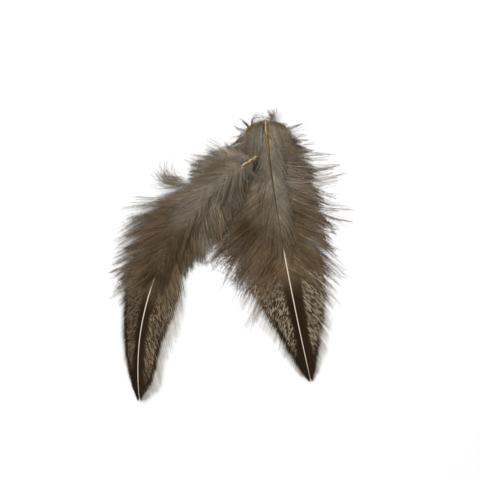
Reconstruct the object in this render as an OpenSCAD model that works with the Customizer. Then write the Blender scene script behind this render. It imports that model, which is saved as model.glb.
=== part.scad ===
// A pair of loose, natural contour feathers with downy bases, lying underside up.
// The upper feather's quill end rests on the down of the lower feather.
// Each feather is built from its quill, shaft, vanes, down and afterfeather.

/* [Lower feather] */
// Length of the lower feather, from quill end to tip
lower_length = 126; // [118:1:134]
// Direction of the lower shaft at its quill end, in the plane
lower_heading = -92; // [-96:1:-88]
// How far the lower shaft has turned by its tip
lower_turn = 14.6; // [10:0.2:16]

/* [Upper feather] */
// Length of the upper feather, from quill end to tip
upper_length = 136; // [128:1:144]
// Direction of the upper shaft at its quill end, in the plane
upper_heading = -150; // [-153:1:-146]
// How far the upper shaft has turned by its tip
upper_turn = 67; // [60:1:70]
// Height of the upper quill's axis over the table
upper_rest_height = 9; // [8.8:0.1:11]

/* [Quill and shaft] */
// Length of the hollow quill
quill_length = 8; // [7.5:0.5:9]
// Length of the quill's straight stretch, before its neck
quill_straight = 6; // [5:0.5:6.5]
// Outer diameter of the quill
quill_diameter = 1.9; // [1.7:0.1:2.3]
// Wall thickness of the quill
quill_wall = 0.28; // [0.2:0.01:0.3]
// Width of the shaft where it leaves the quill
shaft_width = 1.48; // [1.3:0.02:1.56]
// Wall thickness of the shaft round its pith
shaft_wall = 0.13; // [0.1:0.01:0.16]

/* [Vanes and down] */
// Thickness of the firm vane
vane_thickness = 0.36; // [0.3:0.02:0.5]
// Thickness of a lock of down at its fullest
down_thickness = 1.5; // [1.2:0.1:1.6]
// Thickness of a lock of the afterfeather at its fullest
afterdown_thickness = 0.9; // [0.7:0.1:1]
// Number of down locks on each side of a shaft
down_locks = 9; // [6:1:10]
// Number of vane locks on each side of a shaft
vane_locks = 8; // [5:1:9]
// Number of down locks on each side of an aftershaft
afterdown_locks = 6; // [4:1:8]

/* [Hidden] */

LEFT = -1;
RIGHT = 1;
quill_round = 48;      // facets round a quill
path_steps = 72;       // straight steps in a shaft's centreline
shaft_rings = 42;      // rings along a shaft
pith_rings = 36;       // rings along its pith
pith_end = 0.86;       // where the pith stops, as a share of the length
plug = 0.9;            // how far a shaft reaches into its quill
down_start = 0.068;    // first root of the down, as a share of the length
down_end = 0.47;       // where the down gives way to the firm vane
vane_end = 0.975;      // last root of the firm vane
after_start = 0.08;    // first root on the aftershaft
after_end = 0.47;      // tip of the aftershaft
after_radius = 0.3;    // radius of the aftershaft at its root
lock_gap = 0.04;       // share of its width that a lock leaves free
rest_z = 0.5;          // height of a shaft's axis where the vane lies on the table
vane_drop = 0.22;      // how far below the shaft's axis the barbs are rooted
root_share = 0.8;      // how far out from it, as a share of the shaft's radius
tip_lift = 1.6;        // how far a feather's tip curls up
pivot_gap = 0.12;      // free space between an afterfeather's root and the quill

// The origin is at the centre of the pair's outline, on the table
lower_start = [20.7, 64];
upper_start = [16.5, 46.1];

// [start, length, first heading, turn, how early it turns, extra height of the quill end,
//  share of the length over which that height is lost, height of the aftershaft's root]
lower = [lower_start, lower_length, lower_heading, lower_turn, 0.23, 2.7, 0.55, 0.74];
upper = [upper_start, upper_length, upper_heading, upper_turn, 0.96, upper_rest_height - rest_z, 0.66, 1.05];

// ---- curves of one feather ----

function smooth(x) = let (c = max(0, min(1, x))) c * c * (3 - 2 * c);
function between(a, b, u) = a * (1 - u) + b * u;
function unit(a) = [cos(a), sin(a)];
function heading(f, t) = f[2] + f[3] * pow(t, f[4]);

// Centreline in the plane, walked in equal steps along the heading
function walk(f) = [
    for (i = 0, p = f[0]; i <= path_steps;
         p = p + f[1] / path_steps * unit(heading(f, (i + 0.5) / path_steps)), i = i + 1) p
];
lower_path = walk(lower);
upper_path = walk(upper);

function is_lower(f) = f[0] == lower_start;
function path_of(f) = is_lower(f) ? lower_path : upper_path;
function shaft_xy(f, t) =
    let (x = min(t, 0.99999) * path_steps, k = floor(x))
    between(path_of(f)[k], path_of(f)[k + 1], x - k);
function shaft_z(f, t) =
    rest_z + f[5] * (1 - smooth((t - 0.03) / f[6])) + tip_lift * smooth((t - 0.8) / 0.2);
function shaft_radius(t) = shaft_width / 2 * (1 - 0.88 * pow(t, 0.8));
function quill_share(f) = quill_length / f[1];

// A barb as an arc of the given length that starts and ends at headings a and b
function arc_xy(a, b, long, v) =
    let (turn = (b - a) * PI / 180, now = a + (b - a) * v)
    abs(turn) < 0.001 ? long * v * unit(a)
    : long / turn * [sin(now) - sin(a), cos(a) - cos(now)];

// Length of a barb, and its angle from the shaft at root and tip, by where it is rooted
lower_left_lengths = [
    [0.06, 14], [0.18, 27], [0.32, 37], [0.46, 34],
    [0.6, 25], [0.76, 15], [0.9, 8], [0.98, 3]
];
lower_right_lengths = [
    [0.06, 14], [0.18, 26], [0.32, 29], [0.46, 27],
    [0.6, 24], [0.76, 18], [0.9, 10], [0.98, 3]
];
upper_left_lengths = [
    [0.06, 14], [0.18, 20], [0.32, 28], [0.46, 27],
    [0.6, 18.5], [0.76, 13], [0.9, 7.5], [0.98, 3]
];
upper_right_lengths = [
    [0.06, 14], [0.18, 25], [0.32, 29], [0.46, 27],
    [0.6, 25], [0.76, 18], [0.9, 10], [0.98, 3]
];
function barb_length(f, side, t) = lookup(t, is_lower(f)
    ? (side == LEFT ? lower_left_lengths : lower_right_lengths)
    : (side == LEFT ? upper_left_lengths : upper_right_lengths));
function root_angle(t) = lookup(t, [[0.06, 126], [0.11, 92], [0.2, 66], [0.46, 48], [0.76, 36], [0.98, 22]]);
function tip_angle(t) = lookup(t, [[0.06, 88], [0.11, 74], [0.2, 56], [0.46, 34], [0.76, 20], [0.98, 9]]);

// Height of a barb's tip: low where the down spreads over the table, raised along the vane,
// and high where the upper feather bridges the lower one
function edge_height(f, t) =
    (is_lower(f) ? 0.1 : max(0.5, 0.93 * shaft_z(f, t))) + 1.3 * smooth((t - 0.4) / 0.3);
function barb_point(f, side, t, v) =
    let (h = heading(f, t),
         root = shaft_xy(f, t) + side * root_share * shaft_radius(t) * unit(h + 90),
         p = root + arc_xy(h + side * root_angle(t), h + side * tip_angle(t), barb_length(f, side, t), v))
    [p[0], p[1], between(shaft_z(f, t) - vane_drop, edge_height(f, t), smooth(v))];

// The afterfeather is a smaller plume over the shaft, with finer and straighter barbs
function after_z(f, t) =
    shaft_z(f, t) + f[7] + (1.95 - f[7]) * smooth((t - quill_share(f)) / 0.1);
function after_length(t) = lookup(t, [[0.07, 9], [0.18, 17], [0.35, 19], [0.47, 13]]);
function after_angle(t) = lookup(t, [[0.07, 78], [0.2, 52], [0.47, 24]]);
after_bend = 22;       // how far a barb of the afterfeather bends towards the tip
after_crown = 0.35;    // how far it arches over the down
function after_point(f, side, t, v) =
    let (h = heading(f, t),
         root = shaft_xy(f, t) + side * 0.12 * unit(h + 90),
         a = after_angle(t),
         p = root + arc_xy(h + side * a, h + side * (a - after_bend), after_length(t), v))
    [p[0], p[1], after_z(f, t) + after_crown * sin(180 * v)];

// ---- shared solids ----

// Closed skin over rings of points, each with the same number of points
module skin(rings) {
    m = len(rings[0]);
    n = len(rings);
    last = (n - 1) * m;
    sides = [for (i = [0:n - 2], j = [0:m - 1])
        let (a = i * m + j, b = i * m + (j + 1) % m)
        each [[a, b + m, b], [a, a + m, b + m]]];
    caps = [for (j = [1:m - 2]) each [[0, j, j + 1], [last, last + j + 1, last + j]]];
    polyhedron([for (r = rings) each r], concat(sides, caps), convexity = 6);
}

// Ring of points round a shaft, slightly wider than high
function shaft_ring(f, t, r, z, sides = 8) =
    let (p = shaft_xy(f, t), across = unit(heading(f, t) + 90))
    [for (j = [0:sides - 1]) let (a = 360 * (j + 0.5) / sides)
        [p[0] + across[0] * r * cos(a), p[1] + across[1] * r * cos(a), z + 0.86 * r * sin(a)]];

// A lock is a bundle of barbs rooted between ta and tb. It keeps its width up to `sharp`
// and then narrows to the share `blunt` of it.
edge_share = [0.35, 0.5, 0.35];
function lock_ring(f, side, ta, tb, v, thick, sharp, blunt, after) =
    let (half = (tb - ta) / 2 * (1 - lock_gap) * between(1, blunt, smooth((v - sharp) / (1 - sharp))),
         full = thick * (0.32 + 0.68 * sin(180 * min(1, 0.12 + 0.86 * v))),
         row = [for (k = [-1, 0, 1]) let (t = (ta + tb) / 2 + k * half)
             after ? after_point(f, side, t, v) : barb_point(f, side, t, v)],
         over = [for (k = [0:2]) let (e = edge_share[k] * full)
             [row[k][0], row[k][1], max(row[k][2] + e, 2 * e)]],
         under = [for (k = [2:-1:0]) [row[k][0], row[k][1], max(0, row[k][2] - edge_share[k] * full)]])
    side == RIGHT ? concat(over, under)
    : [for (k = [5:-1:0]) concat(over, under)[k]];

module locks(f, side, first, last, count, thick, sharp, blunt, rows, after = false) {
    step = (last - first) / count;
    for (i = [0:count - 1])
        skin([for (k = [0:rows])
            lock_ring(f, side, first + i * step, first + (i + 1) * step, k / rows,
                      thick, sharp, blunt, after)]);
}

// A curled wisp: a thin plume that bends through the given turn
module wisp(start, a, turn, long, z0, z1, r) {
    n = 7;
    skin([for (k = [0:n])
        let (v = k / n,
             p = start + arc_xy(a, a + turn, long, v),
             across = unit(a + turn * v + 90),
             thin = r * (1 - 0.85 * v))
        [for (j = [5:-1:0])
            [p[0] + across[0] * thin * cos(60 * j), p[1] + across[1] * thin * cos(60 * j),
             between(z0, z1, v) - thin * sin(60 * j)]]]);
}

// ---- sub-parts of one feather ----

// Lays a module along the quill's axis, from the quill's end towards the shaft
module on_quill(f) {
    a = shaft_xy(f, 0);
    translate([a[0], a[1], shaft_z(f, 0)])
        rotate([0, 90, heading(f, quill_share(f) / 2)]) children();
}

// Hollow quill: a straight tube with a blunt lip at its open end and a neck towards the shaft
module quill(f) {
    r = quill_diameter / 2;
    bore = r - quill_wall;
    lip = quill_wall / 2;
    neck = r - quill_wall / 2;
    color("goldenrod") on_quill(f) rotate_extrude($fn = quill_round)
        polygon([[bore, lip], [bore + lip, 0], [r, lip], [r, quill_straight],
                 [neck, quill_length], [bore, quill_length]]);
}

// Dry caps of old pulp: thin cups that close the quill's bore at intervals
module quill_caps(f) {
    rim = quill_diameter / 2 - quill_wall - 0.03;
    skin_thick = 0.07;
    cup = 0.35;
    count = 4;
    pitch = (quill_length - plug - 1.3) / count;
    color("wheat") on_quill(f)
        for (i = [0:count - 1]) translate([0, 0, 1 + i * pitch])
            rotate_extrude($fn = quill_round)
                polygon([[0, 0], [0.7 * rim, 0.1], [rim, cup], [rim - skin_thick, cup],
                         [0.65 * rim, 0.1 + skin_thick], [0, skin_thick]]);
}

function shaft_t(f, i, n, last) =
    let (first = quill_share(f) - plug / f[1]) first + (last - first) * i / n;
function core_radius(t) = shaft_radius(t) - shaft_wall * (1 - 0.45 * t);

// Horny shell of the shaft, open towards the quill and closed at the tip
module shaft(f) {
    outer = [for (i = [0:shaft_rings])
        let (t = shaft_t(f, i, shaft_rings, 1)) shaft_ring(f, t, shaft_radius(t), shaft_z(f, t))];
    inner = [for (i = [pith_rings:-1:0])
        let (t = shaft_t(f, i, pith_rings, pith_end)) shaft_ring(f, t, core_radius(t), shaft_z(f, t))];
    color("ivory") skin(concat(inner, outer));
}

// Foamy pith inside the shaft
module shaft_pith(f) {
    slack = 0.012;
    color("white") skin([for (i = [0:pith_rings])
        let (t = shaft_t(f, i, pith_rings, pith_end))
        shaft_ring(f, t, core_radius(t) - slack, shaft_z(f, t))]);
}

module down(f, side) {
    color("dimgray") locks(f, side, down_start, down_end, down_locks, down_thickness, 0.5, 0.12, 8);
}

module vane(f, side) {
    color("saddlebrown") locks(f, side, down_end + 0.003, vane_end, vane_locks, vane_thickness, 0.8, 0.6, 6);
}

module aftershaft(f) {
    n = 20;
    first = quill_share(f) + pivot_gap / f[1];
    color("sienna") skin([for (i = [0:n]) let (t = between(first, after_end, i / n))
        shaft_ring(f, t, after_radius * (1 - 0.75 * i / n), after_z(f, t), 6)]);
}

module afterdown(f, side) {
    color("darkgray") locks(f, side, after_start, after_end - 0.012, afterdown_locks,
                            afterdown_thickness, 0.45, 0.12, 6, true);
}

// Three small curled wisps beside the lower quill
module base_tufts(f) {
    outer = barb_point(f, LEFT, 0.085, 0.8);
    inner = barb_point(f, LEFT, 0.08, 0.38);
    right = barb_point(f, RIGHT, 0.08, 0.28);
    color("gray") {
        wisp([outer[0], outer[1]], 88, 44, 7, outer[2] + 0.3, outer[2] + 2, 0.5);
        wisp([inner[0], inner[1]], 112, -100, 10, inner[2], inner[2] + 2.2, 0.45);
        wisp([right[0], right[1]], 92, -24, 14, right[2], right[2] + 2.5, 0.6);
    }
}

// Curled lock that stands away from the upper feather's left edge
module side_tuft(f) {
    p = barb_point(f, LEFT, 0.2, 0.85);
    color("gray") {
        wisp([p[0], p[1]], 172, 40, 10, p[2], p[2] + 1.2, 0.8);
        wisp([p[0], p[1]], 160, -86, 12, p[2] + 0.2, p[2] + 2.4, 0.7);
    }
}

quill(lower);  // lower_quill
quill_caps(lower);  // lower_quill_caps
shaft(lower);  // lower_shaft
shaft_pith(lower);  // lower_shaft_pith
vane(lower, LEFT);  // lower_vane_left
vane(lower, RIGHT);  // lower_vane_right
down(lower, LEFT);  // lower_down_left
down(lower, RIGHT);  // lower_down_right
aftershaft(lower);  // lower_aftershaft
afterdown(lower, LEFT);  // lower_afterdown_left
afterdown(lower, RIGHT);  // lower_afterdown_right
base_tufts(lower);  // lower_base_tufts
quill(upper);  // upper_quill
quill_caps(upper);  // upper_quill_caps
shaft(upper);  // upper_shaft
shaft_pith(upper);  // upper_shaft_pith
vane(upper, LEFT);  // upper_vane_left
vane(upper, RIGHT);  // upper_vane_right
down(upper, LEFT);  // upper_down_left
down(upper, RIGHT);  // upper_down_right
aftershaft(upper);  // upper_aftershaft
afterdown(upper, LEFT);  // upper_afterdown_left
afterdown(upper, RIGHT);  // upper_afterdown_right
side_tuft(upper);  // upper_side_tuft
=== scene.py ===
"""A pair of loose, downy feathers: every barb is a strand of its own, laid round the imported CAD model."""

import bpy
import numpy as np
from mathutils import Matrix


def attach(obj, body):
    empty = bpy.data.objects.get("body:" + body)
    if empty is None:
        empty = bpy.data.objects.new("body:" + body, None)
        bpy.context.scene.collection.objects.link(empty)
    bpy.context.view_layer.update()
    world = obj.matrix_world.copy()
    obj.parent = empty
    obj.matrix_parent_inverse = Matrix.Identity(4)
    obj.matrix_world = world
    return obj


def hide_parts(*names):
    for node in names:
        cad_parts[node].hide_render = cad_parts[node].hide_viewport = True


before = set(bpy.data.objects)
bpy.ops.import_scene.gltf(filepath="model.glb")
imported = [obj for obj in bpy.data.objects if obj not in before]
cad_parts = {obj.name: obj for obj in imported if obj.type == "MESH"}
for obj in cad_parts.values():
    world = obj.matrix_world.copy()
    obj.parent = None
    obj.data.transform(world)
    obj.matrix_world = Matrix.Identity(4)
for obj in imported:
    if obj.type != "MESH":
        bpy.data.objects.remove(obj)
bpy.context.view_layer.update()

MM = 0.001
LEFT, RIGHT = -1, 1
UP = np.array([0.0, 0.0, 1.0])
GUARD = 1e-9            # keeps a vector without length from being divided by 0

# least height above the table, in millimetres
LOOSE_GAP = 0.15
PLUME_GAP = 0.1
VANE_GAP = 0.08
BARBULE_GAP = 0.03


# ---- small curves and profiles ----------------------------------------------

def smooth(x):
    c = np.clip(x, 0, 1)
    return c * c * (3 - 2 * c)


def mix(a, b, u):
    return a * (1 - u) + b * u


def profile(*pairs):
    """A function that runs straight from one (place, value) pair to the next."""
    places, values = zip(*pairs)
    return lambda t: np.interp(t, places, values)


def unit(vectors, guard=0.0):
    """The same directions with a length of 1."""
    return vectors / (np.linalg.norm(vectors, axis=-1, keepdims=True) + guard)


def ring_faces(n, m, sides):
    """Triangles of n closed tubes, each of m rings with `sides` corners."""
    k = np.arange(n * m * sides).reshape(n, m, sides)
    a, b = k[:, :-1], k[:, 1:]
    a2, b2 = np.roll(a, -1, 2), np.roll(b, -1, 2)
    faces = [np.stack(corners, -1).reshape(-1, 3) for corners in ([a, a2, b], [a2, b2, b])]
    for j in range(1, sides - 1):
        faces.append(np.stack([k[:, 0, 0], k[:, 0, j + 1], k[:, 0, j]], -1))
        faces.append(np.stack([k[:, -1, 0], k[:, -1, j], k[:, -1, j + 1]], -1))
    return np.concatenate(faces)


class Feather:
    """One feather's centreline in millimetres, read from its CAD quill and shaft."""

    def __init__(self, name):
        self.name = name
        quill = self.vertices("quill")
        shaft = self.vertices("shaft")
        both = np.vstack([quill, shaft])
        # both shafts run steadily towards -Y, so x and z are smooth functions of y
        y = np.linspace(quill[:, 1].max(), shaft[:, 1].min(), 500)
        x = np.polynomial.Polynomial.fit(both[:, 1], both[:, 0], deg=9)(y)
        z = np.polynomial.Polynomial.fit(both[:, 1], both[:, 2], deg=11)(y)
        self.line = np.stack([x, y, z], 1)
        steps = np.linalg.norm(np.diff(self.line[:, :2], axis=0), axis=1)
        self.s = np.concatenate([[0], np.cumsum(steps)])
        self.length = self.s[-1]
        self.share = self.s / self.length
        run = np.gradient(self.line[:, :2], self.s, axis=0)
        self.angle = np.unwrap(np.arctan2(run[:, 1], run[:, 0]))

    def vertices(self, part):
        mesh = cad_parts[f"{self.name}_{part}"].data
        co = np.zeros(len(mesh.vertices) * 3)
        mesh.vertices.foreach_get("co", co)
        return co.reshape(-1, 3) / MM

    def at(self, t):
        return np.stack([np.interp(t, self.share, self.line[:, k]) for k in range(3)], -1)

    def z(self, t):
        return np.interp(t, self.share, self.line[:, 2])

    def heading(self, t):
        return np.interp(t, self.share, self.angle)

    def across(self, t):
        """Level directions at right angles to the shaft."""
        a = self.heading(t) + np.pi / 2
        return np.stack([np.cos(a), np.sin(a), 0 * a], 1)

    def place(self, along, out, side):
        """Points in the plane: `along` mm from the quill's end and `out` mm to one side of the shaft."""
        t = np.clip(along / self.length, 0, 1)
        a = self.heading(t)
        before = np.minimum(along, 0)
        run = np.stack([np.cos(a), np.sin(a)], -1)
        across = side * np.stack([-np.sin(a), np.cos(a)], -1)
        return self.at(t)[..., :2] + before[..., None] * run + out[..., None] * across

    def nearest(self, points):
        """For each point: its distance from the centreline, and the share of the length where that is."""
        flat = points.reshape(-1, 3)[:, :2]
        best = np.full(len(flat), np.inf)
        where = np.zeros(len(flat))
        for k in range(0, len(self.line), 2):
            d = np.hypot(*(flat - self.line[k, :2]).T)
            nearer = d < best
            best[nearer] = d[nearer]
            where[nearer] = self.share[k]
        return best.reshape(points.shape[:-1]), where.reshape(points.shape[:-1])


# ---- strands ----------------------------------------------------------------

def placed(name, mesh, material):
    """An object in the scene, made of one mesh with one material."""
    mesh.materials.append(material)
    piece = bpy.data.objects.new(name, mesh)
    bpy.context.scene.collection.objects.link(piece)
    return piece


class Strands:
    """Collects closed strands, and makes one mesh of them with attributes and a tidy UV layer.

    Each barb has a row of its own in the UV layer, and `row` is the next free one of the `rows`.
    """

    def __init__(self, rows, fields=("along", "tone", "off", "local")):
        self.fields = fields
        self.points, self.faces, self.uvs, self.values = [], [], [], []
        self.count = 0
        self.row, self.rows = 0, rows

    def add(self, points, faces, uvs, values):
        self.points.append(points)
        self.faces.append(faces + self.count)
        self.uvs.append(uvs)
        self.values.append(values)
        self.count += len(points)

    def rings(self, ring, values):
        """Closed tubes from their rings (n, m, sides, 3). values maps a field to (n, m)."""
        n, m, sides, _ = ring.shape
        row = self.row + np.arange(n)
        u = np.broadcast_to(np.linspace(0.01, 0.99, m)[None, :, None], (n, m, sides))
        w = (row[:, None, None] + 0.1 + 0.8 * np.arange(sides)[None, None] / (sides - 1)) / self.rows
        uv = np.stack([u, np.broadcast_to(w, (n, m, sides))], -1).reshape(-1, 2)
        spread = {f: np.repeat(values[f].reshape(-1), sides) for f in self.fields}
        self.add(ring.reshape(-1, 3), ring_faces(n, m, sides), uv, spread)

    def tubes(self, paths, radii, sides, values):
        """Closed round tubes along paths (n, m, 3) with radii (n, m)."""
        tangent = unit(np.gradient(paths, axis=1), GUARD)
        across = unit(np.cross(tangent, UP), GUARD)
        up = np.cross(across, tangent)
        turn = (2 * np.pi * (np.arange(sides) + 0.25) / sides)[None, None, :, None]
        round_it = np.cos(turn) * across[:, :, None] + np.sin(turn) * up[:, :, None]
        self.rings(paths[:, :, None] + radii[:, :, None, None] * round_it, values)

    def spikes(self, base, tip, width, values, uv):
        """Thin closed three-sided needles from base (n, 3) to tip (n, 3)."""
        n = len(base)
        axis = unit(tip - base, GUARD)
        across = unit(np.cross(axis, UP), GUARD)
        up = np.cross(across, axis)
        corners = [base + 0.5 * width[:, None] * (np.cos(a) * across + 0.6 * np.sin(a) * up)
                   for a in (np.pi / 6, 5 * np.pi / 6, 3 * np.pi / 2)]
        points = np.stack(corners + [tip], 1).reshape(-1, 3)
        k = 4 * np.arange(n)[:, None]
        faces = np.concatenate([k + [[0, 1, 3]], k + [[1, 2, 3]], k + [[2, 0, 3]], k + [[0, 2, 1]]])
        spread = {f: np.repeat(values[f], 4) for f in self.fields}
        self.add(points, faces, np.repeat(uv, 4, axis=0), spread)

    def mesh(self, name, material):
        points = np.concatenate(self.points) * MM
        faces = np.concatenate(self.faces)
        mesh = bpy.data.meshes.new(name)
        mesh.vertices.add(len(points))
        mesh.vertices.foreach_set("co", points.astype(np.float32).ravel())
        mesh.loops.add(faces.size)
        mesh.loops.foreach_set("vertex_index", faces.astype(np.int32).ravel())
        mesh.polygons.add(len(faces))
        mesh.polygons.foreach_set("loop_start", np.arange(0, faces.size, 3, dtype=np.int32))
        mesh.update(calc_edges=True)
        mesh.polygons.foreach_set("use_smooth", np.ones(len(faces), bool))
        uv = mesh.uv_layers.new(name="OFBake")
        uv.data.foreach_set("uv", np.concatenate(self.uvs)[faces.ravel()].astype(np.float32).ravel())
        for f in self.fields:
            values = np.concatenate([v[f] for v in self.values]).astype(np.float32)
            mesh.attributes.new(f, "FLOAT", "POINT").data.foreach_set("value", values)
        return placed(name, mesh, material)


def comb(feather, side, roots, lengths, first, last, points, rng, root_out=0.0, wobble=0.0):
    """Barb paths in the plane: rooted at shares `roots`, bending from angle first to last (degrees)."""
    v = (np.arange(points - 1) + 0.5) / (points - 1)
    base = feather.heading(roots)[:, None]
    angle = np.radians(mix(first[:, None], last[:, None], v[None]))
    if wobble:
        phase = rng.uniform(0, 2 * np.pi, (len(roots), 2))
        sway = (np.sin(2 * np.pi * 0.9 * v[None] + phase[:, :1])
                + 0.6 * np.sin(2 * np.pi * 2.1 * v[None] + phase[:, 1:]))
        angle = angle + np.radians(wobble) * sway * (0.3 + v[None])
    direction = base + side * angle
    step = lengths[:, None] / (points - 1)
    run = np.stack([step * np.cos(direction), step * np.sin(direction)], -1)
    start = feather.at(roots)[:, :2]
    out = base[:, 0] + side * np.pi / 2
    start = start + root_out * np.stack([np.cos(out), np.sin(out)], -1)
    path = np.concatenate([np.zeros((len(roots), 1, 2)), np.cumsum(run, axis=1)], 1)
    return start[:, None] + path


def clumps(n, sizes, rng):
    """Group numbers for n barbs in a row, in groups of random size."""
    group = np.zeros(n, int)
    i = g = 0
    while i < n:
        size = rng.integers(*sizes)
        group[i:i + size] = g
        i += size
        g += 1
    return group


def per_group(group, draw):
    return draw(group.max() + 1)[group]


def draw_per_group(group, rng, low, high):
    """One even draw for each group, handed to all its barbs."""
    return per_group(group, lambda k: rng.uniform(low, high, k))


def leaders(group):
    """For each barb, the middle barb of its group."""
    middle = [np.flatnonzero(group == g)[np.sum(group == g) // 2] for g in range(group.max() + 1)]
    return np.array(middle)[group]


# ---- the plume: loose, downy barbs with barbules ----------------------------

def plume(feather, side, spec, rng):
    """Downy barbs on one side of a shaft. Their tips gather in wisps, and fine barbules make them fluffy."""
    n, m = spec["barbs"], spec["points"]
    crowd = ((np.arange(n) + rng.uniform(0.1, 0.9, n)) / n) ** spec["crowd"]
    roots = np.sort(mix(spec["begin"], spec["end"], crowd))
    wisp = clumps(n, spec["wisp"], rng)
    lock = clumps(n, spec["lock"], rng)
    length = spec["length"](roots) * draw_per_group(lock, rng, *spec["uneven"])
    length *= draw_per_group(wisp, rng, 0.88, 1.08) * rng.uniform(*spec["ragged"], n)
    turn = per_group(lock, lambda k: rng.normal(0, spec["stray"], k)) + rng.normal(0, 1.6, n)
    turn += per_group(wisp, lambda k: rng.normal(0, 0.6 * spec["stray"], k))
    first = spec["first"](roots) + 0.4 * turn
    last = spec["last"](roots) + 1.4 * turn + per_group(wisp, lambda k: rng.normal(0, spec["curl"], k))
    out = (spec["root_out"] - spec["cross"](roots) * rng.uniform(0, 1, n))[:, None]
    path = comb(feather, side, roots, length, first, last, m, rng, out, spec["wobble"])
    v = np.linspace(0, 1, m)[None]
    for group, share, start in ((wisp, spec["gather"], spec["free"]), (lock, 0.4 * spec["gather"], 0.6)):
        pull = share * smooth((v - start) / (1 - start)) * rng.uniform(0.5, 1.2, (n, 1))
        path = mix(path, path[leaders(group)], pull[..., None])
    # height: from the shaft to the edge, with a different lift for every lock
    z0 = feather.z(roots)[:, None] + spec["rise"](feather, roots)
    z1 = spec["edge"](feather, roots)[:, None]
    lift = draw_per_group(lock, rng, -1, 1) + draw_per_group(wisp, rng, -0.6, 0.6)
    z = mix(z0, z1, smooth(v)) + spec["crown"] * np.sin(np.pi * v) + spec["lift"] * lift[:, None] * v
    z = z + rng.normal(0, spec["loft"], (n, 1)) * np.sin(np.pi * np.minimum(1, v * 1.1))
    paths = np.concatenate([path, np.maximum(z, PLUME_GAP)[..., None]], 2)
    tone = (0.25 * draw_per_group(lock, rng, 0, 1)
            + 0.45 * draw_per_group(wisp, rng, 0, 1) + 0.3 * rng.uniform(0, 1, n))
    # a few barbs much lighter: paler strands, with painted glints where single strands catch the light
    tone = np.where(rng.uniform(0, 1, n) < spec["pale"], 1.25, tone)
    strands = Strands(n)
    lay(strands, feather, paths, tone, spec, rng)
    return strands


def lay(strands, feather, paths, tone, spec, rng):
    """Turns finished paths into barbs with barbules."""
    n, m, _ = paths.shape
    v = np.linspace(0, 1, m)[None]
    thick = spec["ramus"] * (1 - 0.8 * v) * np.ones((n, 1))
    off, local = feather.nearest(paths)
    values = {"along": v + 0 * thick, "tone": tone[:, None] + 0 * thick, "off": off, "local": local}
    strands.tubes(paths, thick, 3, values)
    barbules(strands, paths, values, spec, rng)
    strands.row += n


def barbules(strands, paths, values, spec, rng):
    """Fine needles along each barb, slanted towards its tip."""
    n, m, _ = paths.shape
    k = spec["barbules"]
    place = np.sort(rng.uniform(spec["bare"], 0.985, (n, k)), axis=1)
    x = place * (m - 1)
    i = np.minimum(x.astype(int), m - 2)
    part = (x - i)[..., None]
    rows = np.arange(n)[:, None]
    base = mix(paths[rows, i], paths[rows, i + 1], part)
    run = unit(paths[rows, i + 1] - paths[rows, i], GUARD)
    across = np.cross(run, UP)
    slant = np.radians(rng.normal(spec["slant"], 9, (n, k)))[..., None]
    hand = rng.choice([-1.0, 1.0], (n, k))[..., None]
    tilt = rng.normal(0, spec["tilt"], (n, k))[..., None]
    way = unit(np.cos(slant) * run + hand * np.sin(slant) * across + tilt * UP)
    long = spec["barbule"] * rng.uniform(0.45, 1.15, (n, k)) * (1 - 0.75 * place ** spec["taper"])
    tip = base + long[..., None] * way
    tip[..., 2] = np.maximum(tip[..., 2], BARBULE_GAP)
    wide = spec["needle"] * rng.uniform(0.7, 1.3, (n, k))
    take = {f: mix(values[f][rows, i], values[f][rows, i + 1], part[..., 0]).ravel()
            for f in strands.fields}
    middle = (strands.row + rows + 0.5 + 0 * place) / strands.rows
    uv = np.stack([0.01 + 0.98 * place, middle], -1).reshape(-1, 2)
    strands.spikes(base.reshape(-1, 3), tip.reshape(-1, 3), wide.ravel(), take, uv)


# mm from the quill's end to the roots of the innermost and of the outermost swept barbs
THROAT = (8.6, 9.8)


def swept(feather, side, spec, rng):
    """Down at the quill: rooted in its throat, swept back beside it, and turned over into the plume.

    Each barb runs through six knots, (along, out) in millimetres, at the given stations of its length.
    """
    n, m = spec["barbs"], spec["points"]
    out = np.sort(rng.uniform(0.7, spec["reach"], n))
    top = spec["top"](out) + rng.normal(0, 0.45, n)
    share = out / spec["reach"]
    end = top + spec["length"](share) * rng.uniform(0.7, 1.1, n)
    knots = np.stack([
        np.stack([mix(*THROAT, share), 0 * out + 0.45], 1),
        np.stack([mix(THROAT[0], top, 0.6), 0.45 * out + 0.2], 1),
        np.stack([top + 0.35, 0.92 * out], 1),
        np.stack([top + 0.4, out + 0.35], 1),
        np.stack([mix(top, end, 0.45), out + 1.0 + 2.5 * share], 1),
        np.stack([end, out + 1.6 + spec["spread"] * share], 1)], 1)
    u = np.linspace(0, 1, m) ** 0.8
    stations = np.array([0.0, 0.2, 0.34, 0.38, 0.66, 1.0])
    flat = np.stack([[np.interp(u, stations, knots[i, :, k]) for k in (0, 1)] for i in range(n)])
    flat = np.moveaxis(flat, 1, 2)
    flat[:, 1:-1] = 0.25 * flat[:, :-2] + 0.5 * flat[:, 1:-1] + 0.25 * flat[:, 2:]
    path = feather.place(flat[..., 0], np.maximum(flat[..., 1], 0.4), side)
    wisp = clumps(n, spec["wisp"], rng)
    pull = 0.4 * smooth((u[None] - 0.55) / 0.45) * rng.uniform(0.5, 1.2, (n, 1))
    path = mix(path, path[leaders(wisp)], pull[..., None])
    base = feather.z(np.clip(flat[..., 0] / feather.length, 0, 1))
    z = base + spec["low"] + (spec["high"] - spec["low"]) * smooth((u[None] - 0.1) / 0.4)
    z = z - spec["droop"] * share[:, None] * u[None] + rng.normal(0, 0.15, (n, 1))
    paths = np.concatenate([path, np.maximum(z, LOOSE_GAP)[..., None]], 2)
    tone = 0.6 * draw_per_group(wisp, rng, 0, 1) + 0.4 * rng.uniform(0, 1, n)
    strands = Strands(n)
    lay(strands, feather, paths, tone, spec, rng)
    return strands


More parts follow.
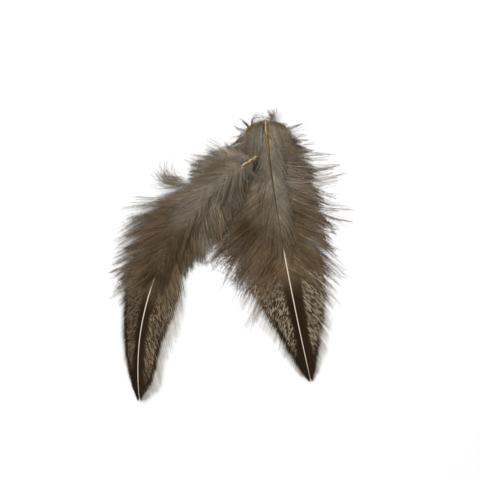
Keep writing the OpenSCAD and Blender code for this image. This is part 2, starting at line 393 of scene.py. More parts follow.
def tuft(strands, feather, side, start, first, spec, rng):
    """Curled barbs from one place: `start` is (along, out, height), and `first` their angle to the shaft."""
    n, m = spec["barbs"], spec["points"]
    start_along, start_out, height = start
    along = start_along + rng.normal(0, spec["scatter"], n)
    out = start_out + rng.normal(0, spec["scatter"], n)
    t = np.clip(along / feather.length, 0, 1)
    v = (np.arange(m - 1) + 0.5) / (m - 1)
    turn = spec["turn"] * rng.uniform(0.5, 1.3, (n, 1)) + rng.normal(0, spec["stray"], (n, 1))
    angle = np.radians(first + rng.normal(0, 0.6 * spec["stray"], (n, 1)) + turn * v[None] ** 1.5)
    heading = feather.heading(t)[:, None] + side * angle
    step = (spec["long"] * rng.uniform(0.5, 1.15, n) / (m - 1))[:, None]
    run = np.cumsum(np.stack([step * np.cos(heading), step * np.sin(heading)], -1), axis=1)
    path = feather.place(along, out, side)[:, None] + np.concatenate([np.zeros((n, 1, 2)), run], 1)
    u = np.linspace(0, 1, m)[None]
    z = height + rng.normal(0, 0.2, (n, 1)) + spec["rise"] * rng.uniform(0.1, 1, (n, 1)) * u
    paths = np.concatenate([path, np.maximum(z, LOOSE_GAP)[..., None]], 2)
    lay(strands, feather, paths, spec["bright"] + rng.uniform(0, 1, n), spec, rng)


# ---- the vane: firm barbs, hooked together ----------------------------------

def vane(name, feather, side, spec, material, rng):
    """Firm barbs laid edge to edge like roof tiles, each a thin ridge with a loose, hair-thin end."""
    n, m = spec["barbs"], spec["points"]
    roots = mix(spec["begin"], spec["end"], (np.arange(n) + 0.5) / n)
    split = np.zeros(n)
    for place, turn in spec["splits"]:
        split += turn * np.where(roots > place, np.exp(-(roots - place) / 0.02), 0)
    firm = spec["firm"](roots) * (1 + 0.012 * np.sin(roots * 90) + rng.normal(0, 0.005, n))
    fringe = spec["fringe"](roots) * rng.uniform(0.3, 1.15, n)
    length = firm + fringe
    last = spec["last"](roots) + split + rng.normal(0, 0.12, n)
    root_out = 0.6 * shaft_radius(roots).mean()
    path = comb(feather, side, roots, length, spec["first"](roots), last, m, rng, root_out, 0.2)
    v = np.linspace(0, 1, m)[None]
    z0 = feather.z(roots)[:, None] - 0.1
    z1 = spec["edge"](feather, roots)[:, None]
    z = mix(z0, z1, v ** 1.6) + 0.03 * (np.arange(n) % 2)[:, None] * v
    paths = np.concatenate([path, np.maximum(z, VANE_GAP)[..., None]], 2)
    # the barb is as wide as the space to its neighbour, until its loose end
    run = unit(np.gradient(paths, axis=1))
    gap = np.linalg.norm(np.cross(run, np.gradient(paths, axis=0)), axis=2)
    reach = length[:, None] * v
    edge = reach / firm[:, None]
    loose = smooth((edge - 0.97) / 0.06)
    # a little more than half the space, so that barbs overlap, and a hair's width beyond the firm part
    half = mix(0.62 * np.minimum(gap, 0.75), 0.055 * (1.35 - v), loose)
    off, local = feather.nearest(paths)
    tone = rng.uniform(0, 1, (n, 1)) + 0 * v
    values = {"along": edge, "tone": tone, "off": off, "local": local,
              "root": feather.length * roots[:, None] + 0 * half, "reach": reach}
    strands = Strands(n, ("along", "tone", "off", "local", "root", "reach"))
    roof(strands, paths, half, values)
    barbules(strands, paths, values, spec, rng)
    return strands.mesh(name, material)


def roof(strands, paths, half, values):
    """Strips with a raised rib along the middle and thin edges, closed underneath."""
    across = unit(np.cross(unit(np.gradient(paths, axis=1)), UP))
    rib = np.minimum(0.09, 0.5 * half)[..., None]
    outline = [(-1.0, 0.0), (-0.25, 0.35), (0.0, 1.0), (0.25, 0.35), (1.0, 0.0), (0.0, -0.5)]
    ring = [paths + w * half[..., None] * across + h * rib * UP for w, h in outline]
    strands.rings(np.stack(ring, 2), values)


# ---- quills and shafts ------------------------------------------------------

SHAFT_START = 7.3                              # mm from the quill's end, inside the quill
RIB_START = {"lower": 8.1, "upper": 10.3}      # the upper one is hinged, and clears the quill as it lifts
RIB_END = 0.47

# half the shaft's width: as wide as the CAD shaft at its base, and drawn out to a point
shaft_radius = profile((0, 0.74), (0.1, 0.62), (0.3, 0.44), (0.47, 0.33), (0.7, 0.25), (0.92, 0.17),
                       (1, 0.05))
rib_radius = profile((0.05, 1.0), (0.09, 0.8), (0.13, 0.55), (0.22, 0.38), (0.34, 0.2), (RIB_END, 0.06))


def shaft(name, feather, material):
    """The main shaft: a little flatter than round, with a groove along its underside, which faces up."""
    t = np.linspace(SHAFT_START / feather.length, 1.0, 160)
    p, across = feather.at(t), feather.across(t)
    r = shaft_radius(t)[:, None]
    ring = []
    for degrees in range(0, 360, 20):
        w = np.radians(degrees)
        groove = 0.16 * np.exp(-((degrees - 90) / 22) ** 2)
        wide, high = np.cos(w), 0.86 * np.sin(w) * (1 - groove)
        ring.append(p + r * (wide * across + high * UP))
    return solid_of_rings(name, np.stack(ring, 1), material, t)


def rib(name, feather, material):
    """The aftershaft: broad and flat where it leaves the quill, and drawn out to a hair."""
    t = np.linspace(RIB_START[feather.name] / feather.length, RIB_END, 70)
    p, across = feather.at(t), feather.across(t)
    p[:, 2] += over(feather, t)[:, 0] + 0.2
    r = rib_radius(t)[:, None]
    flat = np.minimum(0.3 / r, 0.9)
    turns = np.radians(np.arange(0, 360, 30))
    ring = [p + r * (np.cos(w) * across + flat * np.sin(w) * UP) for w in turns]
    return solid_of_rings(name, np.stack(ring, 1), material, t)


def solid_of_rings(name, ring, material, share):
    """One closed solid from its rings (m, sides, 3), with each ring's share of the length in `local`."""
    m, sides, _ = ring.shape
    faces = ring_faces(1, m, sides)
    mesh = bpy.data.meshes.new(name)
    mesh.from_pydata((ring.reshape(-1, 3) * MM).tolist(), [], faces.tolist())
    mesh.polygons.foreach_set("use_smooth", np.ones(len(faces), bool))
    local = np.repeat(share, sides).astype(np.float32)
    mesh.attributes.new("local", "FLOAT", "POINT").data.foreach_set("value", local)
    return placed(name, mesh, material)


# ---- materials --------------------------------------------------------------

def srgb(r, g, b, gain=1.0):
    def linear(c):
        c /= 255
        return c / 12.92 if c <= 0.04045 else ((c + 0.055) / 1.055) ** 2.4
    return tuple(min(1.0, linear(c) * gain) for c in (r, g, b)) + (1.0,)


class Nodes:
    """A short way to write a material's node tree. An input is given by its name, or as i0, i1 and so on."""

    def __init__(self, name, **sockets):
        self.material = bpy.data.materials.new(name)
        self.material.use_nodes = True
        self.tree = self.material.node_tree
        self.shader = self.tree.nodes["Principled BSDF"]
        for socket, value in sockets.items():
            self.shader.inputs[socket.replace("_", " ")].default_value = value

    def put(self, socket, value):
        if isinstance(value, bpy.types.NodeSocket):
            self.tree.links.new(value, socket)
        else:
            socket.default_value = value

    def node(self, kind, output=0, settings=(), **inputs):
        made = self.tree.nodes.new(kind)
        for key, value in dict(settings).items():
            setattr(made, key, value)
        for key, value in inputs.items():
            numbered = key[0] == "i" and key[1:].isdigit()
            self.put(made.inputs[int(key[1:]) if numbered else key], value)
        return made.outputs[output]

    def attribute(self, name):
        return self.node("ShaderNodeAttribute", "Fac", {"attribute_name": name})

    def maths(self, operation, a, b=0.0, c=0.0):
        return self.node("ShaderNodeMath", 0, {"operation": operation}, i0=a, i1=b, i2=c)

    def times(self, a, b):
        return self.maths("MULTIPLY", a, b)

    def rest(self, value):
        """What is left of 1."""
        return self.maths("SUBTRACT", 1.0, value)

    def blend(self, a, b, factor, kind="MIX"):
        made = self.tree.nodes.new("ShaderNodeMix")
        made.data_type = "RGBA"
        made.blend_type = kind
        self.put(made.inputs[0], factor)
        self.put(made.inputs[6], a)
        self.put(made.inputs[7], b)
        return made.outputs[2]

    def step(self, value, low, high):
        """0 below low, 1 above high, smooth between."""
        return self.node("ShaderNodeMapRange", 0, {"interpolation_type": "SMOOTHSTEP"},
                         i0=value, i1=low, i2=high, i3=0.0, i4=1.0)

    def noise(self, vector, scale, detail=2.0, distortion=0.0):
        return self.node("ShaderNodeTexNoise", 0, (), Vector=vector, Scale=scale, Detail=detail,
                         Distortion=distortion)

    def vector(self, x, y, z=0.0):
        return self.node("ShaderNodeCombineXYZ", 0, (), i0=x, i1=y, i2=z)

    def place(self):
        return self.node("ShaderNodeTexCoord", "Object")

    def finish(self, colour):
        self.tree.links.new(colour, self.shader.inputs["Base Color"])
        return self.material


def shaded(n, colour, amount):
    """Multiplies a colour by a grey amount."""
    grey = n.node("ShaderNodeCombineColor", 0, (), i0=amount, i1=amount, i2=amount)
    return n.blend(colour, grey, 1.0, "MULTIPLY")


# patches in the down: x, y and radius in millimetres, and strength
BROWN_PATCHES = ((11, 11, 10, 0.85), (36, 54, 6, 0.6), (37, 19, 7, 0.6), (-27, 22, 8, 0.65),
                 (-24, -2, 8, 0.65), (25, -9, 11, 0.75), (-34, -12, 10, 0.8), (22, 24, 9, 0.4),
                 (19, 37, 7, 0.45))
# pale patches: painted sheen, where the down is thin and catches the light
PAINTED_SHEEN_PATCHES = ((0, 50, 9, 0.35), (-8, 5, 8, 0.55), (-9, 17, 8, 0.45), (22, 56, 9, 0.4),
                (33, 60, 7, 0.3), (0, 38, 9, 0.25), (44, 5, 6, 0.4))
PATCH_HEIGHT = 2        # mm above the table


def down_material(name, near, far, late, tip, shade, edge, change, bend=None):
    """Down in patchy locks: its colours near the shaft, far from it, late along the feather and at the tip.

    Near turns to far over the distances `edge` (mm), and to late over the shares `change` of the length.
    `shade` is how much barbs differ, and `bend` colours the barbs where they turn over at the quill.
    Brown patches lie where the down is thickest, and the pale ones are painted sheen, where the down is thin
    and catches the light.
    """
    n = Nodes(name, Roughness=0.8, Sheen_Weight=0.05, Specular_IOR_Level=0.12)
    off, local, along = n.attribute("off"), n.attribute("local"), n.attribute("along")
    patch = n.maths("SUBTRACT", n.noise(n.place(), 95.0, 2.0, 0.6), 0.5)
    body = n.blend(near, far, n.step(n.maths("ADD", off, n.times(patch, 9.0)), *edge))
    body = n.blend(body, late, n.step(n.maths("ADD", local, n.times(patch, 0.25)), *change))
    body = n.blend(body, tip, n.times(n.step(along, 0.72, 1.0), 0.85))
    # brown patches of colour, then pale patches of painted sheen
    for places, colour in ((BROWN_PATCHES, srgb(80, 58, 33)), (PAINTED_SHEEN_PATCHES, srgb(158, 149, 133))):
        for x, y, wide, strength in places:
            away = n.node("ShaderNodeVectorMath", "Value", {"operation": "DISTANCE"},
                          i0=n.place(), i1=(x * MM, y * MM, PATCH_HEIGHT * MM))
            away = n.maths("ADD", away, n.times(patch, 6 * MM))
            inside = n.maths("MULTIPLY_ADD", n.step(away, 0, wide * MM), -strength, strength)
            body = n.blend(body, colour, inside)
    if bend:
        turn = n.times(n.step(along, 0.24, 0.32), n.rest(n.step(along, 0.35, 0.42)))
        beside = n.times(n.rest(n.step(off, 0.7, 2.2)), n.rest(n.step(local, 0.03, 0.07)))
        body = n.blend(body, bend, n.times(n.maths("MAXIMUM", turn, beside), 0.85))
    mottle = n.noise(n.place(), 420.0, 3.0)
    tone = n.maths("MULTIPLY_ADD", n.attribute("tone"), shade, 1 - shade / 2)
    tone = n.times(tone, n.maths("MULTIPLY_ADD", mottle, 0.5, 0.75))
    tone = n.times(tone, n.maths("MULTIPLY_ADD", patch, 0.9, 1.0))
    return n.finish(shaded(n, body, tone))


def vane_material(name, light, ground, dark, streak, stripe, cover, rimmed, ends):
    """Patterned vane: a dark stripe by the shaft, wavy light marks, a dark margin and tip, and pale hairs.

    The marks cover less as `cover` rises, and `streak` scales them along the shaft and along the barb, with
    a seed. The dark stripe is `stripe` mm wide. The dark margin starts at the share `rimmed` of the length,
    and the dark tip at `ends`.
    """
    n = Nodes(name, Roughness=0.8, Specular_IOR_Level=0.05)
    root, reach = n.attribute("root"), n.attribute("reach")
    off, along, local = n.attribute("off"), n.attribute("along"), n.attribute("local")
    grid = n.vector(n.times(root, streak[0]), n.times(reach, streak[1]), streak[2])
    wavy = n.noise(grid, 1.0, 2.0, 0.7)
    wander = n.maths("SUBTRACT", n.noise(grid, 0.3, 1.0), 0.5)
    marks = n.step(wavy, cover - 0.04, cover + 0.04)
    narrow = n.maths("MULTIPLY_ADD", n.step(local, 0.5, 0.9), 0.45, 0.85)
    zone = n.step(n.maths("MULTIPLY_ADD", off, narrow, n.times(wander, 3.0)), stripe, stripe + 1.6)
    margin = n.step(n.maths("ADD", along, n.times(wander, 0.16)), 0.82, 0.88)
    inside = n.rest(n.times(margin, n.step(local, rimmed, rimmed + 0.09)))
    end = n.rest(n.step(n.maths("ADD", local, n.times(wander, 0.05)), ends - 0.06, ends + 0.02))
    patterned = n.times(inside, end)
    rim = n.blend(dark, ground, n.times(n.step(along, 0.85, 0.97), 0.85))
    stripe_end = n.rest(n.step(local, 0.59, 0.73))
    ground = n.blend(DOWNY, ground, n.step(local, 0.53, 0.7))
    brown = n.maths("MAXIMUM", n.step(off, stripe * 0.4, stripe * 1.5), stripe_end)
    colour = n.blend(rim, ground, n.times(brown, patterned))
    fade = n.times(n.times(marks, zone), patterned)
    strength = n.times(n.step(local, 0.5, 0.68), n.maths("MULTIPLY_ADD", wander, 1.6, 0.85))
    colour = n.blend(colour, light, n.times(fade, strength))
    colour = n.blend(colour, n.blend(DOWNY, HAIR, n.step(local, 0.58, 0.7)), n.step(along, 0.99, 1.16))
    return n.finish(shaded(n, colour, n.maths("MULTIPLY_ADD", n.attribute("tone"), 0.35, 0.82)))


def horn(n, base, middle, end, first, second, streaks, amount):
    """Horn from its base to its middle and end colours, over two spans of the length, with faint streaks."""
    local = n.attribute("local")
    colour = n.blend(base, middle, n.step(local, *first))
    colour = n.blend(colour, end, n.step(local, *second))
    return n.finish(n.blend(colour, base, n.times(streaks, amount)))


def shaft_material(name, base, middle, end):
    """Horn: golden at the quill, cream-white along the vane, with faint lengthwise streaks."""
    n = Nodes(name, Roughness=0.35, Coat_Weight=0.3, Coat_Roughness=0.25)
    streaks = n.step(n.noise(n.place(), 900.0, 3.0), 0.5, 0.8)
    return horn(n, base, middle, end, (0.08, 0.4), (0.85, 1.0), streaks, 0.25)


def rib_material(name, base, middle, end):
    """Brown horn: golden where it leaves the quill, and darker towards its end."""
    n = Nodes(name, Roughness=0.55, Specular_IOR_Level=0.2)
    streaks = n.step(n.noise(n.place(), 1400.0, 3.0), 0.5, 0.75)
    return horn(n, base, middle, end, (0.09, 0.17), (0.22, 0.45), streaks, 0.35)


def quill_material(name):
    """Translucent golden horn, glossy, darker in blotches."""
    n = Nodes(name, Roughness=0.3, Coat_Weight=0.2, Coat_Roughness=0.15)
    blotch = n.noise(n.place(), 800.0, 4.0)
    return n.finish(n.blend(srgb(138, 114, 64), srgb(76, 60, 32), n.step(blotch, 0.42, 0.6)))


def plain_material(name, colour, dark):
    n = Nodes(name, Roughness=0.6)
    return n.finish(n.blend(colour, dark, n.step(n.noise(n.place(), 1500.0, 3.0), 0.4, 0.7)))


# ---- build ------------------------------------------------------------------

def quick(count):
    """The number of barbules, unchanged here: the place where a quick try would take fewer."""
    return count


# angles between a barb and the shaft, at the root and at the tip, along the feather
lower_first = profile((0.064, 150), (0.085, 122), (0.11, 98), (0.2, 68), (0.46, 50), (0.6, 46))
lower_last = profile((0.064, 45), (0.085, 56), (0.11, 62), (0.2, 54), (0.46, 36), (0.6, 30))
upper_wisp_last = profile((0.064, 60), (0.11, 52), (0.2, 36), (0.34, 28), (0.5, 22))
first_angle = {
    ("lower", LEFT): lower_first,
    ("lower", RIGHT): lower_first,
    ("upper", LEFT): profile((0.064, 130), (0.085, 100), (0.11, 74), (0.2, 52), (0.46, 46), (0.6, 44)),
    ("upper", RIGHT): profile((0.064, 125), (0.085, 110), (0.11, 98), (0.2, 82), (0.3, 62), (0.46, 46)),
}
last_angle = {
    ("lower", LEFT): lower_last,
    ("lower", RIGHT): lower_last,
    ("upper", LEFT): profile((0.064, 34), (0.085, 36), (0.11, 36), (0.2, 28), (0.46, 24), (0.6, 24)),
    ("upper", RIGHT): profile((0.064, 56), (0.11, 62), (0.2, 62), (0.3, 40), (0.4, 28), (0.46, 24)),
}
wisp_last = {
    ("lower", LEFT): profile((0.064, 78), (0.085, 88), (0.11, 92), (0.2, 74), (0.34, 44), (0.5, 26)),
    ("lower", RIGHT): profile((0.064, 80), (0.085, 96), (0.12, 108), (0.2, 92), (0.34, 54), (0.5, 28)),
    ("upper", LEFT): upper_wisp_last,
    ("upper", RIGHT): upper_wisp_last,
}
silk_first = profile((0.06, 48), (0.2, 44), (0.4, 30), (0.5, 10))
silk_last = profile((0.06, 14), (0.2, 16), (0.4, 4), (0.5, -6))
vane_first = profile((0.44, 60), (0.5, 58), (0.6, 51), (0.7, 46), (0.8, 42), (0.9, 36), (0.98, 26))
vane_last = profile((0.44, 36), (0.5, 34), (0.6, 29), (0.7, 26), (0.8, 24), (0.9, 20), (0.98, 12))

# lengths in millimetres, along the feather
silk_length = profile((0.05, 14), (0.18, 18), (0.35, 19), (0.5, 13))
down_length = {
    ("lower", LEFT): profile((0.064, 12), (0.085, 18), (0.12, 27), (0.18, 40), (0.24, 46), (0.3, 44),
                             (0.5, 31)),
    ("lower", RIGHT): profile((0.064, 11), (0.085, 15), (0.11, 19.5), (0.18, 27), (0.3, 33.5),
                              (0.36, 31.5), (0.42, 31), (0.5, 26)),
    ("upper", LEFT): profile((0.064, 12), (0.1, 22), (0.12, 22), (0.15, 17), (0.18, 17), (0.21, 24),
                             (0.28, 38), (0.31, 38), (0.325, 32), (0.34, 35), (0.36, 37),
                             (0.385, 31), (0.42, 27.5), (0.5, 26)),
    ("upper", RIGHT): profile((0.064, 7), (0.1, 11), (0.15, 17), (0.2, 22), (0.3, 24), (0.4, 21), (0.5, 20)),
}
# how much further than the body the longest wisps reach
stretch = {("lower", LEFT): 4, ("lower", RIGHT): 7, ("upper", LEFT): 3, ("upper", RIGHT): 4}
# the firm part of a vane's barb, up to the dark margin
firm_length = {
    ("lower", LEFT): profile((0.44, 24), (0.5, 25), (0.56, 22.3), (0.62, 20.5), (0.7, 16.5), (0.78, 13.3),
                             (0.86, 9.5), (0.92, 6.5), (0.98, 2.4), (1, 0.4)),
    ("lower", RIGHT): profile((0.44, 21), (0.5, 23), (0.56, 22), (0.68, 19), (0.74, 15), (0.8, 12.7),
                              (0.86, 9.5), (0.92, 6.5), (0.98, 2.4), (1, 0.4)),
    ("upper", LEFT): profile((0.44, 13), (0.56, 16), (0.62, 14.3), (0.7, 12), (0.78, 9.7), (0.86, 7.3),
                             (0.92, 5), (0.98, 2), (1, 0.4)),
    ("upper", RIGHT): profile((0.44, 16), (0.56, 20.5), (0.62, 19), (0.7, 17.5), (0.78, 15.8),
                              (0.86, 12.3), (0.92, 7.5), (0.98, 2.4), (1, 0.4)),
}
# the loose part beyond it
fringe_length = {
    ("lower", LEFT): profile((0.44, 14), (0.5, 11), (0.56, 8.5), (0.64, 6.5), (0.8, 4.6), (0.9, 2.8),
                             (0.98, 0.3)),
    ("lower", RIGHT): profile((0.44, 12), (0.5, 8.5), (0.56, 6.5), (0.64, 6.5), (0.8, 5), (0.9, 2.5),
                              (0.98, 0.3)),
    ("upper", LEFT): profile((0.46, 8), (0.56, 5), (0.64, 3), (0.8, 2.5), (0.9, 1.2), (0.98, 0.3)),
    ("upper", RIGHT): profile((0.46, 10), (0.56, 10), (0.64, 10), (0.8, 8), (0.9, 4.5), (0.98, 0.5)),
}
# places where the vane's barbs part, and by how many degrees
splits = {
    ("lower", LEFT): (),
    ("lower", RIGHT): ((0.49, -15), (0.69, -7), (0.85, -6)),
    ("upper", LEFT): (),
    ("upper", RIGHT): ((0.66, -4),),
}

# how far the lower feather lifts the edge of the upper feather's down, in millimetres
bedding = profile((0.1, 2.6), (0.3, 1.6), (0.45, 0.4), (0.6, 1.2))


def vane_edge(feather, t):
    """Height of the barbs' ends: it rises between 0.4 and 0.7 of the length."""
    low = 0.35 if feather.name == "lower" else np.maximum(0.6, 0.93 * feather.z(t))
    return low + 1.3 * smooth((t - 0.4) / 0.3)


def down_edge(feather, t):
    """Down sinks to the table, or on to the feather below."""
    return vane_edge(feather, t) if feather.name == "lower" else 0.5 + bedding(t)


def silk_edge(feather, t):
    """The afterdown's ends: over the shaft, or part of the way down to the edge of the upper feather."""
    if feather.name == "lower":
        return feather.z(t) + 0.8
    return mix(down_edge(feather, t), feather.z(t) + 1.6, 0.4)


def under(feather, t):
    """Roots just under the middle of the shaft."""
    return -0.1


def over(feather, t):
    """Height of the aftershaft over the shaft's middle: it rises from the quill's rim."""
    low = 0.74 if feather.name == "lower" else 1.05
    return low + (1.75 - low) * smooth((t - 8 / feather.length) / 0.1)[:, None]


def above(feather, t):
    """Just over the aftershaft, so that loose silk hides it."""
    return over(feather, t) + 0.55


level = profile((0, 0), (1, 0))
# pale: the share of barbs made much lighter, paler strands with painted glints
BODY = dict(begin=0.064, end=0.49, barbs=330, points=14, crowd=1.15, wisp=(2, 7), lock=(8, 20),
            uneven=(0.84, 1.1), ragged=(0.82, 1.05), stray=3, curl=6, gather=0.5, free=0.45, root_out=0.35,
            cross=level, wobble=4, rise=under, edge=down_edge, lift=0.35, crown=0.25, loft=0.35,
            ramus=0.055, barbules=quick(100), barbule=2.3, slant=30, tilt=0.22, needle=0.075, bare=0.03,
            taper=4, pale=0.08)
UNDER = dict(BODY, begin=0.066, barbs=300, wisp=(1, 3), gather=0.15, ragged=(0.7, 1.02), stray=5, curl=9,
             lift=0.2, crown=0, loft=0.2, ramus=0.045, barbules=quick(90), barbule=3.0, slant=40,
             needle=0.07)
FILL = dict(UNDER, begin=0.13, end=0.38, barbs=280, ragged=(0.6, 1.02), barbule=3.6, slant=45, needle=0.08)
LONG = dict(BODY, end=0.58, barbs=230, points=16, wisp=(2, 6), lock=(5, 12), uneven=(0.8, 1.06),
            ragged=(0.74, 1.06), stray=5, curl=13, gather=0.75, free=0.3, wobble=6, lift=0.5, crown=0.4,
            loft=0.3, ramus=0.115, barbules=quick(90), barbule=1.0, slant=16, tilt=0.2, needle=0.06,
            taper=2)
SILK = dict(BODY, begin=0.066, end=0.47, barbs=260, points=12, crowd=1, lock=(10, 22), uneven=(0.85, 1.1),
            ragged=(0.5, 1.12), stray=2, curl=5, gather=0.45, free=0.3, root_out=0.08, wobble=3, rise=over,
            edge=silk_edge, lift=0.2, crown=0.3, loft=0.15, ramus=0.05, barbules=quick(90), barbule=1.8,
            slant=22, tilt=0.15, needle=0.065, first=silk_first, last=silk_last, length=silk_length)
# the upper feather's silk is longer and looser, and lies across its aftershaft
LOOSE = dict(SILK, end=0.51, barbs=300, barbule=2.3, barbules=quick(100), rise=above, stray=7, curl=11,
             cross=profile((0.09, 0), (0.13, 2.6)), wobble=5, lift=0.25, gather=0.55, pale=0.12,
             length=profile((0.05, 11), (0.12, 22), (0.3, 30), (0.5, 24)),
             first=profile((0.07, 62), (0.12, 38), (0.2, 30), (0.5, 26)),
             last=profile((0.07, 30), (0.12, 22), (0.2, 16), (0.5, 8)))
SWEPT = dict(barbs=120, points=26, wisp=(2, 6), reach=8.5, spread=5, low=0.1, high=2.1, droop=1.2,
             ramus=0.05, barbules=quick(110), barbule=1.3, slant=14, tilt=0.12, needle=0.065, bare=0.03,
             taper=4, top=profile((0, 0.1), (5, 1.1), (9, 3.0)), length=profile((0, 16), (1, 22)))
SWEPT_UPPER_LEFT = dict(SWEPT, barbs=70, reach=4.5, spread=6, high=1.2, top=profile((0, 4), (5, 6.4)))
SWEPT_UPPER_RIGHT = dict(SWEPT_UPPER_LEFT, barbs=40, reach=3.5, droop=5)
swept_spec = {("lower", LEFT): SWEPT, ("lower", RIGHT): SWEPT,
              ("upper", LEFT): SWEPT_UPPER_LEFT, ("upper", RIGHT): SWEPT_UPPER_RIGHT}
VANE = dict(begin=0.45, end=0.994, barbs=200, points=22, edge=vane_edge, first=vane_first, last=vane_last,
            barbules=quick(60), barbule=1.7, slant=20, tilt=0.1, needle=0.035, bare=0.72, taper=4)
TUFT = dict(points=12, rise=2.2, ramus=0.07, barbules=quick(60), slant=28, tilt=0.3, needle=0.05,
            bare=0.03, taper=4, bright=0)
COMMA = dict(TUFT, scatter=0.25, stray=4, rise=0.8, ramus=0.18, barbule=0.5, slant=18)
BUSHY = dict(TUFT, barbs=22, points=16, scatter=0.8, stray=45, turn=70, long=5.5, ramus=0.045,
             barbules=quick(80), barbule=1.5, slant=40, needle=0.035, bright=1.0)
CURLY = dict(TUFT, points=16, scatter=1.6, rise=3)

# the upper feather's down reaches this much further along its shaft
LATE = {"lower": 0, "upper": 0.025}
SEEDS = {"lower": 100, "upper": 200}

HAIR, DOWNY = srgb(200, 192, 180), srgb(104, 88, 66)
white_horn = srgb(190, 181, 166)
light, ground, dark = srgb(152, 140, 119), srgb(62, 47, 31), srgb(38, 27, 15)
materials = {
    "down": down_material("down", srgb(138, 127, 109), srgb(128, 114, 94), srgb(108, 89, 65),
                          srgb(90, 76, 57), 1.0, (6.0, 17.0), (0.2, 0.48)),
    "tuft": down_material("tuft", srgb(98, 88, 72), srgb(92, 80, 62), srgb(92, 80, 62),
                          srgb(120, 108, 90), 1.0, (6.0, 17.0), (0.2, 0.48)),
    "loose": down_material("loose", srgb(134, 124, 107), srgb(110, 95, 75), srgb(94, 77, 55),
                           srgb(104, 90, 70), 0.9, (3.0, 11.0), (0.26, 0.42)),
    "afterdown": down_material("afterdown", srgb(145, 136, 118), srgb(124, 112, 94), srgb(110, 93, 71),
                               srgb(110, 96, 76), 0.6, (3.0, 11.0), (0.3, 0.48)),
    "swept": down_material("swept", srgb(150, 140, 121), srgb(124, 111, 92), srgb(104, 86, 64),
                           srgb(116, 104, 85), 0.5, (4.5, 10.5), (0.3, 0.48), srgb(112, 90, 44)),
    "shaft": shaft_material("shaft", srgb(120, 90, 50), white_horn, srgb(196, 184, 162)),
    "aftershaft": rib_material("aftershaft", srgb(100, 76, 40), srgb(66, 48, 28), srgb(44, 32, 20)),
    "quill": quill_material("quill"),
    "pulp_caps": plain_material("pulp_caps", srgb(205, 188, 150), srgb(170, 150, 110)),
    "pith": plain_material("pith", srgb(238, 232, 220), srgb(220, 212, 196)),
}
vane_look = {
    ("lower", LEFT): vane_material("vane_lower_left", light, ground, dark,
                                   (1.05, 0.5, 3.0), 3.2, 0.52, 0.7, 0.9),
    ("lower", RIGHT): vane_material("vane_lower_right", light, ground, srgb(42, 30, 18),
                                    (1.25, 0.38, 11.0), 4.6, 0.5, 0.81, 0.92),
    ("upper", LEFT): vane_material("vane_upper_left", srgb(108, 96, 79), ground, dark,
                                   (1.2, 0.6, 23.0), 2.2, 0.5, 0.62, 0.9),
    ("upper", RIGHT): vane_material("vane_upper_right", srgb(126, 114, 92), srgb(62, 46, 28),
                                    srgb(44, 32, 19), (1.1, 0.35, 31.0), 3.2, 0.51, 0.7, 0.95),
}


def seeded(feather, side, part):
    """Random numbers of its own for each part of a feather."""
    return np.random.default_rng(SEEDS[feather.name] + 10 * part + side)


def settle(piece, body, slot, *nodes):
    """The piece rides on a body, and may replace CAD nodes. `slot` is not used."""
    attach(piece, body)
    if nodes:
        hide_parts(*nodes)


def downs(feather, side, word):
    """The plume: body down, longer wisps through it, and the down that is swept back at the quill."""
    key = (feather.name, side)
    body = feather.name + "_feather"
    shape = dict(length=down_length[key], first=first_angle[key], last=last_angle[key],
                 end=BODY["end"] + LATE[feather.name])
    wisps = dict(shape, end=LONG["end"], length=lambda t: down_length[key](t) + stretch[key],
                 last=wisp_last[key])
    layers = [("down", dict(BODY, **shape), 1), ("underdown", dict(UNDER, **shape), 6)]
    if key == ("lower", LEFT):
        layers.append(("filldown", dict(FILL, **dict(shape, end=FILL["end"])), 7))
    layers.append(("wisps", dict(LONG, **wisps), 2))
    for layer, spec, part in layers:
        strands = plume(feather, side, spec, seeded(feather, side, part))
        piece = strands.mesh(f"{feather.name}_{layer}_{word}_barbs", materials["down"])
        replaced = (f"{feather.name}_down_{word}",) if layer == "down" else ()
        settle(piece, body, "down", *replaced)
    strands = swept(feather, side, swept_spec[key], seeded(feather, side, 3))
    look = "swept" if feather.name == "lower" else "loose"
    piece = strands.mesh(f"{feather.name}_swept_{word}_barbs", materials[look])
    settle(piece, body, "down")


def dress(feather):
    """Every piece of one feather, and the looks of the CAD nodes that stay."""
    body, after, silk, look = feather.name + "_feather", "upper_afterfeather", LOOSE, "loose"
    if feather.name == "lower":
        after, silk, look = body, SILK, "afterdown"
    for side, word in ((LEFT, "left"), (RIGHT, "right")):
        key = (feather.name, side)
        downs(feather, side, word)
        strands = plume(feather, side, silk, seeded(feather, side, 4))
        piece = strands.mesh(f"{feather.name}_afterdown_{word}_barbs", materials[look])
        settle(piece, after, "afterdown", f"{feather.name}_afterdown_{word}")
        spec = dict(VANE, firm=firm_length[key], fringe=fringe_length[key], splits=splits[key])
        piece = vane(f"{feather.name}_vane_{word}_barbs", feather, side, spec, vane_look[key],
                     seeded(feather, side, 5))
        settle(piece, body, "vane", f"{feather.name}_vane_{word}")
    piece = shaft(f"{feather.name}_main_shaft", feather, materials["shaft"])
    settle(piece, body, "shaft", f"{feather.name}_shaft")
    piece = rib(f"{feather.name}_aftershaft_rib", feather, materials["aftershaft"])
    settle(piece, after, "aftershaft", f"{feather.name}_aftershaft")
    for part, finish in (("quill", "quill"), ("quill_caps", "pulp_caps"), ("shaft_pith", "pith")):
        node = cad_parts[f"{feather.name}_{part}"]
        node.data.materials.clear()
        node.data.materials.append(materials[finish])


def tufts(name, feather, look, rng, *parts):
    """Curled tufts that stand away from the plume, all in one piece. It replaces the CAD node `name`."""
    strands = Strands(sum(spec["barbs"] for _, _, _, spec in parts))
    for side, start, first, spec in parts:
        tuft(strands, feather, side, start, first, spec, rng)
    piece = strands.mesh(name + "_barbs", materials[look])
    settle(piece, feather.name + "_feather", "wisps", name)


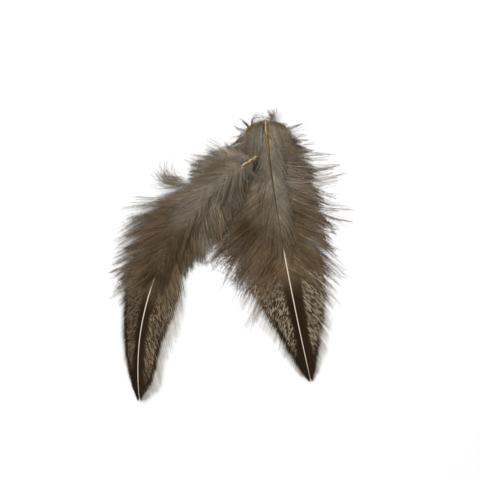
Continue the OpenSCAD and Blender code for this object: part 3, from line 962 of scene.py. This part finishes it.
lower, upper = Feather("lower"), Feather("upper")
dress(lower)
dress(upper)
tufts("lower_base_tufts", lower, "tuft", np.random.default_rng(31),
      (LEFT, (2.8, 8.2, 2.6), 150, dict(COMMA, barbs=9, turn=-30, long=6)),
      (LEFT, (2.4, 6.6, 3.2), 182, dict(COMMA, barbs=6, turn=140, long=9)),
      (RIGHT, (0.4, 2.9, 3.2), 158, BUSHY))
tufts("upper_side_tuft", upper, "down", np.random.default_rng(47),
      (LEFT, (35.5, 14, 4.5), 52, dict(CURLY, barbs=60, stray=26, turn=62, long=12, barbule=1.3)),
      (LEFT, (38, 20, 5), 140, dict(CURLY, barbs=6, stray=8, turn=16, long=8, barbule=0.9)))


# ---- stage ------------------------------------------------------------------

FLOOR_SIZE = 6                          # metres, and so are the lamp's size and place
LAMP_SIZE = 1.3
LAMP_PLACE = (-0.7, 0.6, 1.7)
LAMP_POWER = 48                         # watts
PAPER_GREY = 0.68
VIEW_CENTRE = (8.6 * MM, 6.7 * MM)
VIEW_WIDTH = 230.4 * MM                 # what the camera sees of the table, from edge to edge


def add_floor():
    bpy.ops.mesh.primitive_plane_add(size=FLOOR_SIZE, location=(0, 0, 0))
    floor = bpy.context.object
    floor.name = "floor"
    paper = Nodes("paper", Base_Color=(PAPER_GREY, PAPER_GREY, PAPER_GREY, 1), Roughness=0.9,
                  Specular_IOR_Level=0.1)
    floor.data.materials.append(paper.material)


def add_lamp(scene):
    """A soft lamp that points at the middle of the table."""
    lamp = bpy.data.lights.new("softbox", "AREA")
    lamp.shape = "DISK"
    lamp.size = LAMP_SIZE
    lamp.energy = LAMP_POWER
    softbox = bpy.data.objects.new("softbox", lamp)
    softbox.location = LAMP_PLACE
    softbox.rotation_mode = "QUATERNION"
    softbox.rotation_quaternion = softbox.location.to_track_quat("Z", "Y")
    scene.collection.objects.link(softbox)


def add_world(scene):
    """Bright round the horizon and dimmer overhead, so that the soft lamp still throws a shadow."""
    world = bpy.data.worlds.new("studio")
    world.use_nodes = True
    tree = world.node_tree
    background = tree.nodes["Background"]
    background.inputs["Color"].default_value = (1, 1, 1, 1)
    height = tree.nodes.new("ShaderNodeSeparateXYZ")
    tree.links.new(tree.nodes.new("ShaderNodeTexCoord").outputs["Generated"], height.inputs[0])
    fade = tree.nodes.new("ShaderNodeMapRange")
    for socket, value in (("From Min", 0.05), ("From Max", 0.45), ("To Min", 1.0), ("To Max", 0.5)):
        fade.inputs[socket].default_value = value
    tree.links.new(height.outputs["Z"], fade.inputs["Value"])
    tree.links.new(fade.outputs["Result"], background.inputs["Strength"])
    scene.world = world


def add_camera(scene):
    """A camera straight above the pair."""
    camera = bpy.data.cameras.new("camera")
    camera.lens = 85
    camera.sensor_width = 36
    eye = bpy.data.objects.new("camera", camera)
    eye.location = (*VIEW_CENTRE, VIEW_WIDTH * camera.lens / camera.sensor_width)
    eye.rotation_euler = (0, 0, 0)
    scene.collection.objects.link(eye)
    scene.camera = eye


add_floor()
add_lamp(bpy.context.scene)
add_world(bpy.context.scene)
add_camera(bpy.context.scene)
bpy.context.scene.view_settings.view_transform = "Standard"
